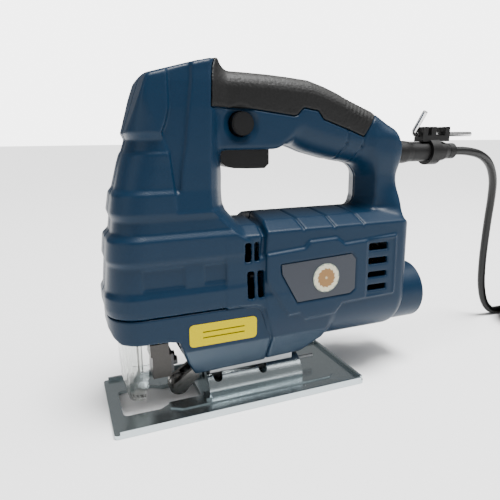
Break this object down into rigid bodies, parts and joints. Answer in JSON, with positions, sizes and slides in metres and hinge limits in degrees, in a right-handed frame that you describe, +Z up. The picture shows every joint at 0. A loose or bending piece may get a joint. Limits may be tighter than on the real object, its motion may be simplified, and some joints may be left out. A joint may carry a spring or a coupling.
{
  "type": "jigsaw power tool",
  "caption": "Corded hand jigsaw with a bow handle, tilting sole plate, clear blade guard, rear dust port and a reciprocating blade holder.",
  "frame": {"origin": "centre of the sole plate's underside, on the surface the tool stands on", "axes": "+X is the cutting direction (nose), +Y is the operator's left, +Z is up"},
  "size_m": [0.4755, 0.083, 0.1976],
  "materials": {
    "casing_plastic": "fine spark-eroded texture",
    "rubber_grip": "soft overmould",
    "clear_plastic": "clear polycarbonate",
    "bright_steel": "ground",
    "zinc_plate": "zinc plated sheet",
    "black_steel": "black oxide",
    "cast_aluminium": "as cast",
    "bronze": "sintered",
    "gear_steel": "machined",
    "laminated_steel": "stacked sheet",
    "copper": "enamelled",
    "carbon": "pressed carbon",
    "black_plastic": "moulded",
    "name_plate_film": "printed film",
    "emblem_print": null,
    "rating_foil": "blank foil",
    "yellow_film": "plain film",
    "capacitor_film": "moulded box",
    "black_rubber": "moulded",
    "chrome_key": "nickel plated",
    "cord_rubber": "smooth sheath",
    "tie_wire": "coated wire",
    "plug_plastic": "moulded on"
  },
  "bodies": {
    "machine": {"housing_left": "casing_plastic", "housing_right": "casing_plastic", "front_shroud": "casing_plastic", "grip_left": "rubber_grip", "grip_right": "rubber_grip", "blade_guard": "clear_plastic", "touch_pin": "bright_steel", "dust_port": "casing_plastic", "dust_duct": "black_plastic", "name_plate": "name_plate_film", "emblem_disc": "emblem_print", "rating_plate": "rating_foil", "yellow_sticker": "yellow_film", "housing_screws": "black_steel", "clamp_saddle": "cast_aluminium", "clamp_screws": "black_steel", "gearbox_casting": "cast_aluminium", "lower_bushing": "bronze", "upper_bushing": "bronze", "roller_fork": "black_steel", "roller_pin": "bright_steel", "gear_shaft": "bright_steel", "gear_retaining_ring": "black_steel", "front_bearing": "bright_steel", "rear_bearing": "bright_steel", "stator_core": "laminated_steel", "field_coils": "copper", "brush_holders": "bronze", "carbon_brushes": "carbon", "trigger_spring": "bright_steel", "lock_spring": "bright_steel", "switch_body": "black_plastic", "capacitor": "capacitor_film", "cord_clamp": "black_plastic", "cord_clamp_screws": "black_steel", "strain_relief": "black_rubber", "key_holder": "black_rubber", "cord_tube": "cord_rubber", "cord_coil": "cord_rubber", "cord_tie": "tie_wire", "mains_plug": "plug_plastic"},
    "base": {"sole_plate": "zinc_plate", "base_bracket": "zinc_plate"},
    "plunger": {"plunger_rod": "bright_steel", "plunger_yoke": "gear_steel", "blade_holder": "bright_steel", "blade_clamp_plate": "black_steel", "blade_clamp_screws": "black_steel"},
    "armature": {"armature_shaft": "bright_steel", "armature_core": "laminated_steel", "armature_winding": "copper", "commutator": "copper", "cooling_fan": "black_plastic"},
    "gear": {"drive_gear": "gear_steel", "crank_roller": "bright_steel"},
    "support_roller": {"guide_roller": "bright_steel"},
    "trigger_key": {"trigger": "black_plastic"},
    "lock_key": {"lock_button": "black_plastic"},
    "key": {"hex_key": "chrome_key"}
  },
  "joints": [
    {"name": "armature_spin", "type": "hinge", "parent": "machine", "child": "armature", "pos_m": [0, 0, 0.074], "axis": [1, 0, 0], "continuous": true},
    {"name": "gear_spin", "type": "hinge", "parent": "machine", "child": "gear", "pos_m": [0, 0, 0.0988], "axis": [1, 0, 0], "continuous": true},
    {"name": "blade_stroke", "type": "slide", "parent": "machine", "child": "plunger", "axis": [0, 0, 1], "range_m": [0, 0.018]},
    {"name": "roller_spin", "type": "hinge", "parent": "machine", "child": "support_roller", "pos_m": [0.036, 0, 0.0085], "axis": [0, 1, 0], "continuous": true},
    {"name": "sole_tilt", "type": "hinge", "parent": "machine", "child": "base", "pos_m": [0, 0, 0.0025], "axis": [1, 0, 0], "range_deg": [-45, 45]},
    {"name": "trigger_press", "type": "slide", "parent": "machine", "child": "trigger_key", "axis": [0, 0, 1], "range_m": [0, 0.0055], "stiffness_N_per_m": 600, "springref_m": -0.004, "deforming": ["trigger_spring"]},
    {"name": "lock_press", "type": "slide", "parent": "machine", "child": "lock_key", "axis": [0, -1, 0], "range_m": [0, 0.003], "stiffness_N_per_m": 500, "springref_m": -0.003, "deforming": ["lock_spring"]},
    {"name": "key_swivel", "type": "hinge", "parent": "machine", "child": "key", "pos_m": [-0.16, 0, 0.157], "axis": [1, 0, 0], "range_deg": [-52, 128]}
  ],
  "couplings": [
    {"joint": "gear_spin", "follows": "armature_spin", "ratio": -0.14815}
  ]
}
